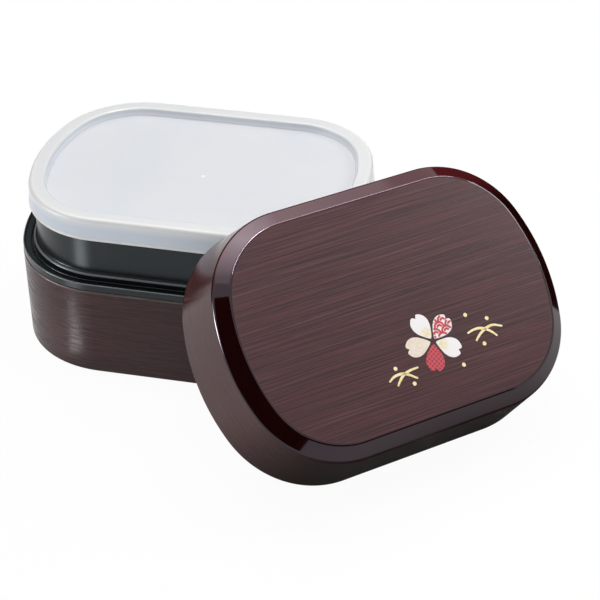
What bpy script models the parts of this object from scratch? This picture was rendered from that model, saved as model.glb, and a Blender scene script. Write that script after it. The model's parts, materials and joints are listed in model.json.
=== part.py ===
"""Two-tier koban bento box: lower tier, upper tier, flexible inner lid and a deep outer lid.

The box stands on the ground with the upper tier nested in the lower one and the inner lid on top.
The outer lid is off: it stands on its long side and leans against the front right of the box.
Metres, +Z up. The origin is the centre of the lower tier's flat underside, +X runs along the length.
"""
import math

import bmesh
import bpy
from mathutils import Matrix, Vector
from mathutils.bvhtree import BVHTree

MM = 0.001

# The koban outline, an oblong whose long sides are straight and whose ends are shallow arcs
LENGTH = 170 * MM
WIDTH = 121.3 * MM
END_RADIUS = 95.7 * MM
CORNER_RADIUS = 46.6 * MM
END_STEPS = 3
CORNER_STEPS = 12

# Gap between any two pieces that rest on or slide in each other
FIT_GAP = 0.3 * MM
SMALL_EDGE_RADIUS = 0.3 * MM

# Lower tier: a tub with a flat shoulder outside and a low rim standing inside it
LOWER_HEIGHT = 44.5 * MM
LOWER_WALL = 2.6 * MM
LOWER_FLOOR = 2.2 * MM
LOWER_DRAFT = 0.7 * MM
BASE_EDGE_RADIUS = 0.5 * MM
LOWER_FLOOR_RADIUS = 6.0 * MM
RIM_HEIGHT = 1.1 * MM

# Upper tier: its flange hooks over the lower rim and has a groove for the outer lid
BAND_INSET = 0.2 * MM
BAND_WALL = 1.0 * MM
BAND_EDGE_RADIUS = 0.4 * MM
FLANGE_WALL = 1.4 * MM
GROOVE_DEPTH = 1.0 * MM
GROOVE_RIB_WALL = 0.8 * MM
GROOVE_RIB_RISE = 0.1 * MM
GUTTER_DEPTH = 0.9 * MM
RIDGE_INSET = 5.4 * MM
RIDGE_RISE = 2.0 * MM
RIDGE_WALL = 1.2 * MM
RIDGE_EDGE_RADIUS = 0.5 * MM
WALL_FOOT_INSET = 7.1 * MM
WALL_FOOT_RADIUS = 0.7 * MM
UPPER_WALL = 1.7 * MM
UPPER_WALL_RISE = 27.4 * MM
UPPER_WALL_DRAFT = 0.5 * MM
UPPER_CORE_DRAFT = 0.7 * MM
NEST_DEPTH = 10.0 * MM
NEST_RADIUS = 4.0 * MM
NEST_DRAFT = 0.4 * MM
UPPER_FLOOR = 1.8 * MM

# Inner lid: a thin flexible cap whose rim is a channel over the upper tier's wall
CAP_WALL = 1.2 * MM
CAP_SKIRT_WALL = 1.7 * MM
CAP_SKIRT_HEIGHT = 10.8 * MM
CAP_FLARE = 0.7 * MM
CAP_EDGE_RADIUS = 1.5 * MM
CAP_CEILING_WALL = 1.8 * MM
CAP_RIB_WALL = 0.7 * MM
CAP_RIB_DEPTH = 2.5 * MM
CAP_RIM_WIDTH = 7.4 * MM
CAP_RIM_INNER_RADIUS = 1.2 * MM
CAP_RECESS_DEPTH = 3.9 * MM
CAP_RECESS_DRAFT = 0.7 * MM
CAP_PANEL_RADIUS = 0.8 * MM

# Outer lid: a skirt that leans in, a sloped bevel and a flat top
LID_HEIGHT = 36.7 * MM
LID_SKIRT_HEIGHT = 31.9 * MM
LID_SKIRT_DRAFT = 3.0 * MM
LID_BEVEL_WIDTH = 6.4 * MM
LID_WALL = 1.7 * MM
LID_BEVEL_WALL = 1.2 * MM
LID_TOP_WALL = 1.8 * MM
LID_BEVEL_EDGE_RADIUS = 0.5 * MM

# How the outer lid leans: its top face looks to the front right and upwards
LID_FACING = math.radians(-43.6)
LID_TURN = math.radians(87.2)
LID_STAND_OFF = 23.9 * MM
LID_SIDE_SHIFT = 18.9 * MM
LEAN_START = math.radians(90)
LEAN_STEP = math.radians(1)
LEAN_HALVINGS = 14

HALF_LENGTH = LENGTH / 2
HALF_WIDTH = WIDTH / 2
SMOOTH_ANGLE = math.radians(30)
FILLET_STEPS = 3

# A fillet takes at most this share of the runs beside it, and a flat face starts this many radii in
FILLET_SHARE = 0.49
FLAT_START = 3

COLLECTION = "two_tier_bento_box"


def outline(inset):
    """Points of the koban outline, moved inwards by inset, going round once from the +X end."""
    a = HALF_LENGTH - inset
    b = HALF_WIDTH - inset
    end = END_RADIUS - inset
    corner = CORNER_RADIUS - inset
    end_centre = a - end
    corner_y = b - corner
    corner_x = end_centre + math.sqrt((end - corner) ** 2 - corner_y ** 2)
    split = math.atan2(corner_y, corner_x - end_centre)
    quarter = []
    for i in range(END_STEPS + 1):
        t = split * i / END_STEPS
        quarter.append((end_centre + end * math.cos(t), end * math.sin(t)))
    for i in range(1, CORNER_STEPS + 1):
        t = split + (math.pi / 2 - split) * i / CORNER_STEPS
        quarter.append((corner_x + corner * math.cos(t), corner_y + corner * math.sin(t)))
    half = quarter + [(-x, y) for x, y in reversed(quarter)]
    return half + [(-x, -y) for x, y in half[1:-1]]


def rounded(corners):
    """Turns (inset, height, radius) corners into a profile with an arc at each rounded corner."""
    points = []
    for i, (inset, height, radius) in enumerate(corners):
        here = Vector((inset, height))
        if radius == 0 or i in (0, len(corners) - 1):
            points.append(here)
            continue
        before = (Vector(corners[i - 1][:2]) - here)
        after = (Vector(corners[i + 1][:2]) - here)
        half_angle = before.angle(after) / 2
        reach = min(radius / math.tan(half_angle), before.length * FILLET_SHARE,
                    after.length * FILLET_SHARE)
        arc_radius = reach * math.tan(half_angle)
        start = here + before.normalized() * reach
        stop = here + after.normalized() * reach
        centre = here + (before.normalized() + after.normalized()).normalized() * (
            arc_radius / math.sin(half_angle))
        first = start - centre
        turn = first.angle_signed(stop - centre)
        for step in range(FILLET_STEPS + 1):
            swing = Matrix.Rotation(-turn * step / FILLET_STEPS, 2)
            points.append(centre + swing @ first)
    return points


def loft(name, corners, colour, roughness, metallic=0.0):
    """A koban shell: one ring for each point of the profile, with the first and last ring filled."""
    bm = bmesh.new()
    rings = []
    for inset, height in rounded(corners):
        rings.append([bm.verts.new((x, y, height)) for x, y in outline(inset)])
    for low, high in zip(rings, rings[1:]):
        for i in range(len(low)):
            j = (i + 1) % len(low)
            bm.faces.new((low[i], low[j], high[j], high[i]))
    bm.faces.new(list(reversed(rings[0])))
    bm.faces.new(rings[-1])
    bmesh.ops.recalc_face_normals(bm, faces=bm.faces)
    mesh = bpy.data.meshes.new(name)
    bm.to_mesh(mesh)
    bm.free()
    mesh.shade_smooth()
    mesh.set_sharp_from_angle(angle=SMOOTH_ANGLE)
    mesh.materials.append(plastic(name, colour, roughness, metallic))
    piece = bpy.data.objects.new(name, mesh)
    bpy.data.collections[COLLECTION].objects.link(piece)
    return piece


def plastic(name, colour, roughness, metallic):
    material = bpy.data.materials.new(name)
    material.use_nodes = True
    shader = material.node_tree.nodes["Principled BSDF"]
    shader.inputs["Base Color"].default_value = (*colour, 1)
    shader.inputs["Roughness"].default_value = roughness
    shader.inputs["Metallic"].default_value = metallic
    return material


def lower_tier():
    """A straight-sided tub; the rim stands clear inside the upper tier's band."""
    rim_outer = BAND_INSET + BAND_WALL + FIT_GAP
    rim_top = LOWER_HEIGHT + RIM_HEIGHT
    foot = LOWER_WALL + LOWER_DRAFT
    return loft("lower_tier", [
        (BASE_EDGE_RADIUS * FLAT_START, 0, 0),
        (0, 0, BASE_EDGE_RADIUS),
        (0, LOWER_HEIGHT, SMALL_EDGE_RADIUS),
        (rim_outer, LOWER_HEIGHT, 0),
        (rim_outer, rim_top, SMALL_EDGE_RADIUS),
        (LOWER_WALL, rim_top, SMALL_EDGE_RADIUS),
        (foot, LOWER_FLOOR, LOWER_FLOOR_RADIUS),
        (foot + LOWER_FLOOR_RADIUS * FLAT_START, LOWER_FLOOR, 0),
    ], colour=(0.075, 0.035, 0.032), roughness=0.35)


def upper_tier():
    """A tub with a flange: outer band, groove, rib, gutter and ridge, then the tall wall."""
    band_low = LOWER_HEIGHT + FIT_GAP
    band_inner = BAND_INSET + BAND_WALL
    under = LOWER_HEIGHT + RIM_HEIGHT + FIT_GAP
    groove = under + FLANGE_WALL
    band_top = groove + GROOVE_DEPTH
    rib_outer = band_inner + FIT_GAP + LID_WALL + FIT_GAP
    rib_inner = rib_outer + GROOVE_RIB_WALL
    rib_top = band_top + GROOVE_RIB_RISE
    gutter = band_top - GUTTER_DEPTH
    ridge = band_top + RIDGE_RISE
    wall_top = ridge + UPPER_WALL_RISE
    top_outer = WALL_FOOT_INSET + UPPER_WALL_DRAFT
    top_inner = top_outer + UPPER_WALL
    floor = band_top - NEST_DEPTH
    nest_foot = top_outer + NEST_DRAFT
    core_foot = top_inner + UPPER_CORE_DRAFT
    piece = loft("upper_tier", [
        (nest_foot + NEST_RADIUS * FLAT_START, floor, 0),
        (nest_foot, floor, NEST_RADIUS),
        (top_outer, ridge - RIDGE_WALL, 0),
        (RIDGE_INSET + RIDGE_WALL, ridge - RIDGE_WALL, 0),
        (RIDGE_INSET + RIDGE_WALL, under, 0),
        (band_inner, under, 0),
        (band_inner, band_low, 0),
        (BAND_INSET, band_low, SMALL_EDGE_RADIUS),
        (BAND_INSET, band_top, BAND_EDGE_RADIUS),
        (band_inner, band_top, SMALL_EDGE_RADIUS),
        (band_inner, groove, 0),
        (rib_outer, groove, 0),
        (rib_outer, rib_top, SMALL_EDGE_RADIUS),
        (rib_inner, rib_top, SMALL_EDGE_RADIUS),
        (rib_inner, gutter, 0),
        (RIDGE_INSET, gutter, 0),
        (RIDGE_INSET, ridge, RIDGE_EDGE_RADIUS),
        (WALL_FOOT_INSET, ridge, WALL_FOOT_RADIUS),
        (top_outer, wall_top, UPPER_WALL / 2),
        (top_inner, wall_top, UPPER_WALL / 2),
        (core_foot, floor + UPPER_FLOOR, NEST_RADIUS),
        (core_foot + NEST_RADIUS * FLAT_START, floor + UPPER_FLOOR, 0),
    ], colour=(0.030, 0.036, 0.038), roughness=0.32)
    return piece, top_outer, top_inner, wall_top


def inner_lid(wall_outer, wall_inner, wall_top):
    """A thin cap: flared skirt, rounded rim over the wall, a sealing rib and a sunken panel."""
    ceiling = wall_top + FIT_GAP
    top = ceiling + CAP_CEILING_WALL
    channel_outer = wall_outer - FIT_GAP
    rim_outer = channel_outer - CAP_SKIRT_WALL
    low = top - CAP_SKIRT_HEIGHT
    rib_outer = wall_inner + FIT_GAP
    rib_inner = rib_outer + CAP_RIB_WALL
    rim_inner = rim_outer + CAP_RIM_WIDTH
    panel = top - CAP_RECESS_DEPTH
    panel_under = panel - CAP_WALL
    foot = rim_inner + CAP_RECESS_DRAFT
    return loft("inner_lid", [
        (foot + CAP_PANEL_RADIUS * FLAT_START, panel_under, 0),
        (foot - CAP_WALL, panel_under, CAP_PANEL_RADIUS),
        (rim_inner - CAP_WALL, ceiling, 0),
        (rib_inner, ceiling, 0),
        (rib_inner, ceiling - CAP_RIB_DEPTH, 0),
        (rib_outer, ceiling - CAP_RIB_DEPTH, 0),
        (rib_outer, ceiling, 0),
        (channel_outer, ceiling, UPPER_WALL / 2 + FIT_GAP),
        (channel_outer - CAP_FLARE, low, 0),
        (rim_outer - CAP_FLARE, low, SMALL_EDGE_RADIUS),
        (rim_outer, top, CAP_EDGE_RADIUS),
        (rim_inner, top, CAP_RIM_INNER_RADIUS),
        (foot, panel, CAP_PANEL_RADIUS),
        (foot + CAP_PANEL_RADIUS * FLAT_START, panel, 0),
    ], colour=(0.80, 0.82, 0.84), roughness=0.4)


def outer_lid():
    """A deep lid in its own frame: the skirt's low edge at z = 0, the top face at its height."""
    skirt = BAND_INSET + BAND_WALL + FIT_GAP
    shoulder = skirt + LID_SKIRT_DRAFT
    face = shoulder + LID_BEVEL_WIDTH
    slope = math.atan2(LID_HEIGHT - LID_SKIRT_HEIGHT, LID_BEVEL_WIDTH)
    ceiling = LID_HEIGHT - LID_TOP_WALL
    inner_face = face + LID_BEVEL_WALL / math.sin(slope) - LID_TOP_WALL / math.tan(slope)
    inner_shoulder = shoulder + LID_WALL
    inner_height = ceiling - (inner_face - inner_shoulder) * math.tan(slope)
    return loft("outer_lid", [
        (face + LID_BEVEL_WIDTH, LID_HEIGHT, 0),
        (face, LID_HEIGHT, LID_BEVEL_EDGE_RADIUS),
        (shoulder, LID_SKIRT_HEIGHT, LID_BEVEL_EDGE_RADIUS),
        (skirt, 0, SMALL_EDGE_RADIUS),
        (skirt + LID_WALL, 0, SMALL_EDGE_RADIUS),
        (inner_shoulder, inner_height, LID_WALL),
        (inner_face, ceiling, LID_WALL),
        (face + LID_BEVEL_WIDTH, ceiling, 0),
    ], colour=(0.085, 0.035, 0.035), roughness=0.3)


def world_tree(pieces):
    """One search tree over the faces of the given pieces, in world space."""
    points = []
    faces = []
    for piece in pieces:
        start = len(points)
        points += [piece.matrix_world @ v.co for v in piece.data.vertices]
        faces += [[start + i for i in f.vertices] for f in piece.data.polygons]
    return BVHTree.FromPolygons(points, faces)


def lean(lid, box):
    """Stands the lid on the ground beside the box and lowers it until its upper edge rests on it."""
    facing = Vector((math.cos(LID_FACING), math.sin(LID_FACING), 0))
    side = Vector((-facing.y, facing.x, 0))
    reach = max(facing.x * x + facing.y * y for x, y in outline(0))
    foot = facing * (reach + LID_STAND_OFF) + side * LID_SIDE_SHIFT
    box_tree = world_tree(box)

    def place(tilt):
        turn = (Matrix.Rotation(LID_FACING, 4, "Z") @ Matrix.Rotation(tilt, 4, "Y")
                @ Matrix.Rotation(LID_TURN, 4, "Z"))
        lift = -min((turn @ v.co).z for v in lid.data.vertices)
        lid.matrix_world = Matrix.Translation(foot + Vector((0, 0, lift))) @ turn

    def touches(tilt):
        place(tilt)
        return bool(world_tree([lid]).overlap(box_tree))

    clear = LEAN_START
    while clear > LEAN_STEP and not touches(clear - LEAN_STEP):
        clear -= LEAN_STEP
    hit = clear - LEAN_STEP
    for _ in range(LEAN_HALVINGS):
        middle = (clear + hit) / 2
        if touches(middle):
            hit = middle
        else:
            clear = middle
    place(clear + FIT_GAP / WIDTH)


def build():
    for obj in list(bpy.data.objects):
        bpy.data.objects.remove(obj, do_unlink=True)
    bpy.context.scene.collection.children.link(bpy.data.collections.new(COLLECTION))
    lower = lower_tier()
    upper, wall_outer, wall_inner, wall_top = upper_tier()
    cap = inner_lid(wall_outer, wall_inner, wall_top)
    lid = outer_lid()
    lean(lid, [lower, upper, cap])


build()
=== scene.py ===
"""Looks of a two-tier koban lunch box: brown lacquered tub, black tier, milky inner lid, and a
brushed brown outer lid printed with a cherry blossom, taken off and leaning on the box."""
import json
import math

import bmesh
import bpy
from mathutils import Matrix, Vector

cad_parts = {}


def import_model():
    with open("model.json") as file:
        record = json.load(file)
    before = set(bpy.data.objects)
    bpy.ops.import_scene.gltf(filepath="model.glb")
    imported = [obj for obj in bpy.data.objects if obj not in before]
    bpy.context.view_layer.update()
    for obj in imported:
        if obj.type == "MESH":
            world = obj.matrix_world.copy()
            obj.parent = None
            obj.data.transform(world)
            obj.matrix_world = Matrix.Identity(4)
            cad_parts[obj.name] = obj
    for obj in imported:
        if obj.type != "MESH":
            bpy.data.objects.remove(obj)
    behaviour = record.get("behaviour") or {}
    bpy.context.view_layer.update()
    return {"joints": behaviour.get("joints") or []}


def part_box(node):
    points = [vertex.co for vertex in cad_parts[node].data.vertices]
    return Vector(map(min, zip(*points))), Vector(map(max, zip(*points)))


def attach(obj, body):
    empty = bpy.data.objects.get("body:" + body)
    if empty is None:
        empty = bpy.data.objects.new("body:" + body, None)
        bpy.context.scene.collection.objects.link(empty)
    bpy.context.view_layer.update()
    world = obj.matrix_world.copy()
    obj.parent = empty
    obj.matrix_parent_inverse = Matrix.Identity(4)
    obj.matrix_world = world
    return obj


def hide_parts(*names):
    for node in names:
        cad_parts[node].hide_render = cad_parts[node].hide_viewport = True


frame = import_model()

MM = 0.001

# Camera, from matching the outlines of the tiers, the inner lid and the leaning lid
CAMERA_AZIMUTH = math.radians(14.96)
CAMERA_ELEVATION = math.radians(34.507)
CAMERA_ROLL = math.radians(-1.767)
CAMERA_DISTANCE = 956.0 * MM
CAMERA_TARGET = Vector((53.69, -31.17, 33.06)) * MM
CAMERA_LENS = 125.09

# Studio, in metres: its soft fill, its floor, and the floor's own shade at the leaning lid's foot
STUDIO_CENTRE = Vector((0.045, -0.035, 0.050))
STUDIO_FILL = 0.55
FLOOR_RADIUS = 6.0
FLOOR_DROP = 0.2 * MM
FLOOR_NEAR = 0.18
FLOOR_FAR = 0.55
FLOOR_GLOW = 0.95
LID_FEET = [(0.095, -0.105, 0.0), (0.150, -0.060, 0.0)]
LID_FOOT_NEAR = 0.030
LID_FOOT_FAR = 0.115
LID_FOOT_SHADE = 0.98
STRIP_LIFT = 1 * MM

# Koban outline: straight long sides, round corners and shallow arcs for ends
END_RADIUS = 95.7 * MM
CORNER_RADIUS = 46.6 * MM
END_STEPS = 8
CORNER_STEPS = 34
FILLET_STEPS = 7
SHARP_ANGLE = math.radians(32)

# A fillet takes at most this share of the runs beside it, and a flat face starts this many radii in
FILLET_SHARE = 0.49
FLAT_START = 3

# Gaps between the pieces, and small edges
FIT_GAP = 0.3 * MM
SMALL_EDGE = 0.3 * MM
SHOULDER_EDGE = 0.8 * MM

# Lower tier
SHOULDER = 44.5 * MM
LOWER_WALL = 2.6 * MM
LOWER_FLOOR = 2.2 * MM
LOWER_DRAFT = 0.7 * MM
BASE_EDGE = 0.5 * MM
LOWER_FLOOR_EDGE = 6.0 * MM

# Upper tier
BAND_INSET = 0.2 * MM
BAND_WALL = 1.0 * MM
BAND_EDGE = 0.4 * MM
FLANGE_WALL = 1.4 * MM
GROOVE_DEPTH = 1.0 * MM
GROOVE_RIB_WALL = 0.8 * MM
GROOVE_RIB_RISE = 0.1 * MM
GUTTER_DEPTH = 0.9 * MM
RIDGE_INSET = 5.4 * MM
RIDGE_RISE = 2.0 * MM
RIDGE_WALL = 1.2 * MM
RIDGE_EDGE = 0.8 * MM
WALL_FOOT_INSET = 7.1 * MM
WALL_FOOT_EDGE = 0.7 * MM
UPPER_WALL = 1.7 * MM
UPPER_WALL_DRAFT = 0.5 * MM
UPPER_CORE_DRAFT = 0.7 * MM
NEST_EDGE = 4.0 * MM
NEST_DRAFT = 0.4 * MM
UPPER_FLOOR = 1.8 * MM

# Inner lid
CAP_WALL = 1.2 * MM
CAP_SKIRT_WALL = 1.7 * MM
CAP_FLARE = 0.7 * MM
CAP_EDGE = 2.2 * MM
CAP_LIP = 1.1 * MM
# How far below the rim's top the skirt's painted shade is full
CAP_FADE = 5.6 * MM
CAP_BEAD = 0.45 * MM
CAP_CEILING = 1.8 * MM
CAP_RIB_WALL = 0.7 * MM
CAP_RIB_DEPTH = 2.5 * MM
CAP_RIM_WIDTH = 7.4 * MM
CAP_RIM_INNER_EDGE = 1.2 * MM
CAP_RECESS_DEPTH = 3.9 * MM
CAP_RECESS_DRAFT = 0.7 * MM
CAP_PANEL_EDGE = 0.8 * MM
GATE_PLACE = Vector((1.4, -2.5)) * MM
GATE_RADIUS = 1.1 * MM
GATE_RISE = 0.25 * MM
GATE_STEPS = 24
GATE_PROFILE = [(1.0, 0.0), (0.86, 0.55), (0.6, 0.75), (0.42, 0.5), (0.3, 0.9), (0.12, 1.0)]

# Outer lid, in its own frame: the skirt's low edge at z = 0, the top face at the lid's height
LID_HEIGHT = 36.7 * MM
LID_SKIRT_HEIGHT = 31.9 * MM
LID_SKIRT_DRAFT = 3.0 * MM
LID_BEVEL_WIDTH = 6.4 * MM
LID_WALL = 1.7 * MM
LID_BEVEL_WALL = 1.2 * MM
LID_TOP_WALL = 1.8 * MM
LID_TOP_EDGE = 2.2 * MM
LID_SHOULDER_EDGE = 2.5 * MM
LID_FACING = math.radians(-43.6)
LID_TURN = math.radians(87.2)

# Printed blossom, sprigs and dots, in the lid's frame: x along its length, y across it
PRINT_RISE = 0.12 * MM
PRINT_BEVEL = 0.08 * MM
PRINT_SINK = 0.02 * MM
WAVE_RISE = 0.05 * MM
FLOWER = Vector((10.1, -19.0)) * MM
PETAL_FIRST = math.radians(37)
PETAL_TURN = math.radians(72)
PETAL_HALF = [(1.3, 0.0), (2.2, 1.0), (4.2, 2.5), (6.5, 3.85), (8.8, 4.4), (10.9, 4.05), (12.4, 3.0),
              (13.25, 1.9), (13.3, 1.1), (12.7, 0.45)]
PETAL_NOTCH = 12.1
DOT_RADIUS = 0.95 * MM
DOTS = [(29.4, -12.8), (38.7, -17.1), (32.9, -27.2), (19.6, -32.9), (-11.6, -25.0), (-5.8, -33.6)]
SPRIG_WIDTH = 1.25 * MM
SPRIG_TIP_SHARE = 0.72
SPRIGS = {
    "right_arch": [(27.4, -20.6), (30.5, -20.0), (33.5, -20.2),
                   (36.0, -21.3), (38.4, -23.3), (40.1, -25.5)],
    "right_rise": [(29.9, -24.8), (32.1, -23.1), (34.5, -21.8),
                   (37.2, -20.9), (40.3, -20.7), (44.1, -22.3)],
    "left_arch": [(-16.3, -29.4), (-13.9, -28.2), (-11.4, -27.8),
                  (-8.9, -28.1), (-6.5, -29.4), (-3.6, -31.7)],
    "left_rise": [(-13.3, -32.1), (-11.2, -30.1), (-8.7, -28.5), (-5.6, -27.7), (-1.6, -27.5)],
}

# Wave scales on one petal: rows of fans, each of a few arcs
WAVE_PITCH = 5.4 * MM
WAVE_ROW = 2.4 * MM
WAVE_ARCS = [2.2, 0.95]
WAVE_LINE = 0.95 * MM
WAVE_STEPS = 14
WAVE_ROWS = range(-9, 10)
WAVE_COLUMNS = range(-5, 6)


def node_size(name):
    low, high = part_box(name)
    return high - low


HALF_LENGTH = node_size("lower_tier").x / 2
HALF_WIDTH = node_size("lower_tier").y / 2


def koban(inset):
    """Points of the outline moved inwards by inset, once round from the +X end."""
    a = HALF_LENGTH - inset
    b = HALF_WIDTH - inset
    end = END_RADIUS - inset
    corner = CORNER_RADIUS - inset
    end_centre = a - end
    corner_y = b - corner
    corner_x = end_centre + math.sqrt((end - corner) ** 2 - corner_y ** 2)
    split = math.atan2(corner_y, corner_x - end_centre)
    quarter = []
    for i in range(END_STEPS + 1):
        t = split * i / END_STEPS
        quarter.append((end_centre + end * math.cos(t), end * math.sin(t)))
    for i in range(1, CORNER_STEPS + 1):
        t = split + (math.pi / 2 - split) * i / CORNER_STEPS
        quarter.append((corner_x + corner * math.cos(t), corner_y + corner * math.sin(t)))
    half = quarter + [(-x, y) for x, y in reversed(quarter)]
    return half + [(-x, -y) for x, y in half[1:-1]]


def rounded(corners):
    """(point, finish) pairs of a profile given as (inset, height, radius, finish, edge finish) corners.

    A finish is the number of a material: the first is for the run that follows the corner, and the
    second, where there is one, for the corner's own fillet.
    """
    points = []
    for i, (inset, height, radius, finish, *own) in enumerate(corners):
        here = Vector((inset, height))
        if radius == 0 or i in (0, len(corners) - 1):
            points.append((here, finish))
            continue
        before = Vector(corners[i - 1][:2]) - here
        after = Vector(corners[i + 1][:2]) - here
        half_angle = before.angle(after) / 2
        reach = min(radius / math.tan(half_angle), before.length * FILLET_SHARE,
                    after.length * FILLET_SHARE)
        start = here + before.normalized() * reach
        stop = here + after.normalized() * reach
        bisector = (before.normalized() + after.normalized()).normalized()
        centre = here + bisector * (reach / math.cos(half_angle))
        first = start - centre
        turn = first.angle_signed(stop - centre)
        for step in range(FILLET_STEPS + 1):
            swing = Matrix.Rotation(-turn * step / FILLET_STEPS, 2)
            on_edge = own and step < FILLET_STEPS
            points.append((centre + swing @ first, own[0] if on_edge else finish))
    return points


def as_object(name, bm, materials):
    """Makes a shaded object of a bmesh."""
    bmesh.ops.recalc_face_normals(bm, faces=bm.faces)
    mesh = bpy.data.meshes.new(name)
    bm.to_mesh(mesh)
    bm.free()
    for material in materials:
        mesh.materials.append(material)
    mesh.shade_smooth()
    mesh.set_sharp_from_angle(angle=SHARP_ANGLE)
    piece = bpy.data.objects.new(name, mesh)
    bpy.context.scene.collection.objects.link(piece)
    return piece


def shell(name, corners, materials):
    """A koban shell: a ring for each point of the profile, closed by a flat face at each end."""
    bm = bmesh.new()
    points = rounded(corners)
    rings = []
    for point, finish in points:
        rings.append([bm.verts.new((x, y, point.y)) for x, y in koban(point.x)])
    for (point, finish), low, high in zip(points, rings, rings[1:]):
        for i in range(len(low)):
            j = (i + 1) % len(low)
            bm.faces.new((low[i], low[j], high[j], high[i])).material_index = finish
    bm.faces.new(list(reversed(rings[0]))).material_index = points[0][1]
    bm.faces.new(rings[-1]).material_index = points[-1][1]
    piece = as_object(name, bm, materials)
    even = piece.modifiers.new("even_shading", "WEIGHTED_NORMAL")
    even.keep_sharp = True
    return piece


def dress(piece, body, node=None):
    """Puts a finished piece on its body and, where it stands for a part of the model, hides that part.
    """
    if node:
        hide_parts(node)
    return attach(piece, body)


class Nodes:
    """Shorthand for the nodes of one material or node group."""

    def __init__(self, tree):
        self.tree = tree

    def add(self, kind, **settings):
        node = self.tree.nodes.new(kind)
        for key, value in settings.items():
            setattr(node, key, value)
        return node

    def link(self, source, target):
        self.tree.links.new(source, target)

    def put(self, value, target):
        """Links an output to a socket, or writes a plain value on it."""
        if isinstance(value, bpy.types.NodeSocket):
            self.link(value, target)
        else:
            target.default_value = value

    def math(self, operation, first, second=0.0, clamp=False):
        node = self.add("ShaderNodeMath", operation=operation, use_clamp=clamp)
        self.put(first, node.inputs[0])
        self.put(second, node.inputs[1])
        return node.outputs[0]

    def scaled(self, vector, factors):
        """A vector times another, part by part."""
        node = self.add("ShaderNodeVectorMath", operation="MULTIPLY")
        self.put(vector, node.inputs[0])
        self.put(factors, node.inputs[1])
        return node.outputs[0]

    def noise(self, vector, scale, detail=2.0, roughness=0.5):
        node = self.add("ShaderNodeTexNoise")
        self.link(vector, node.inputs["Vector"])
        self.put(scale, node.inputs["Scale"])
        node.inputs["Detail"].default_value = detail
        node.inputs["Roughness"].default_value = roughness
        return node.outputs["Fac"]

    def window(self, value, low, high, smooth=True):
        """0 below low and 1 above high."""
        node = self.add("ShaderNodeMapRange")
        node.interpolation_type = "SMOOTHSTEP" if smooth else "LINEAR"
        self.put(value, node.inputs["Value"])
        self.put(low, node.inputs["From Min"])
        self.put(high, node.inputs["From Max"])
        return node.outputs["Result"]

    def blend(self, factor, first, second):
        """The first colour where the factor is 0 and the second where it is 1."""
        node = self.add("ShaderNodeMix", data_type="RGBA")
        self.put(factor, node.inputs[0])
        self.put(first, node.inputs[6])
        self.put(second, node.inputs[7])
        return node.outputs[2]


def new_group(name, inputs, outputs):
    """An empty node group with (name, kind, default) inputs and (name, kind) outputs."""
    tree = bpy.data.node_groups.new(name, "ShaderNodeTree")
    for label, kind, default in inputs:
        socket = tree.interface.new_socket(label, in_out="INPUT", socket_type=kind)
        if default is not None:
            socket.default_value = default
    for label, kind in outputs:
        tree.interface.new_socket(label, in_out="OUTPUT", socket_type=kind)
    nodes = Nodes(tree)
    return tree, nodes, nodes.add("NodeGroupInput"), nodes.add("NodeGroupOutput")


FLOAT = "NodeSocketFloat"
VECTOR = "NodeSocketVector"


def brushed_grain():
    """Long parallel streaks: broad tone bands, fine hairlines, and rare dark and pale scratches."""
    tree, nodes, given, out = new_group(
        "brushed grain",
        [("Vector", VECTOR, None), ("Lines", VECTOR, (9.0, 700.0, 700.0))],
        [("Bands", FLOAT), ("Hairs", FLOAT), ("Dark", FLOAT), ("Pale", FLOAT)])
    stretched = nodes.scaled(given.outputs["Vector"], given.outputs["Lines"])
    nodes.link(nodes.noise(stretched, 0.22, detail=2.0, roughness=0.6), out.inputs["Bands"])
    nodes.link(nodes.noise(stretched, 1.3, detail=3.0, roughness=0.7), out.inputs["Hairs"])
    rare = nodes.noise(stretched, 1.0, detail=1.0)
    nodes.link(nodes.window(rare, 0.60, 0.66), out.inputs["Dark"])
    nodes.link(nodes.window(rare, 0.35, 0.28), out.inputs["Pale"])
    return tree


def moulded_skin():
    """A slow drift of tone and a very fine pebble, as on moulded plastic."""
    tree, nodes, given, out = new_group(
        "moulded skin", [("Vector", VECTOR, None)], [("Drift", FLOAT), ("Pebble", FLOAT)])
    nodes.link(nodes.noise(given.outputs["Vector"], 22.0, detail=3.0), out.inputs["Drift"])
    nodes.link(nodes.noise(given.outputs["Vector"], 2600.0, detail=2.0), out.inputs["Pebble"])
    return tree


def fine_dust():
    """Rare pale specks of dust and lint."""
    tree, nodes, given, out = new_group(
        "fine dust", [("Vector", VECTOR, None), ("Spread", FLOAT, 70.0)], [("Specks", FLOAT)])
    cells = nodes.add("ShaderNodeTexVoronoi")
    nodes.link(given.outputs["Vector"], cells.inputs["Vector"])
    nodes.link(given.outputs["Spread"], cells.inputs["Scale"])
    near = nodes.window(cells.outputs["Distance"], 0.022, 0.008)
    chosen = nodes.add("ShaderNodeSeparateColor")
    nodes.link(cells.outputs["Color"], chosen.inputs[0])
    rare = nodes.math("GREATER_THAN", chosen.outputs[0], 0.78)
    nodes.link(nodes.math("MULTIPLY", near, rare), out.inputs["Specks"])
    return tree


def ink_clouds():
    """Soft small clouds of tone."""
    tree, nodes, given, out = new_group(
        "ink clouds", [("Vector", VECTOR, None), ("Closeness", FLOAT, 700.0)], [("Clouds", FLOAT)])
    drift = nodes.noise(given.outputs["Vector"], given.outputs["Closeness"])
    nodes.link(nodes.window(drift, 0.42, 0.62), out.inputs["Clouds"])
    return tree


GRAIN = brushed_grain()
SKIN = moulded_skin()
DUST = fine_dust()
CLOUDS = ink_clouds()


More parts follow.
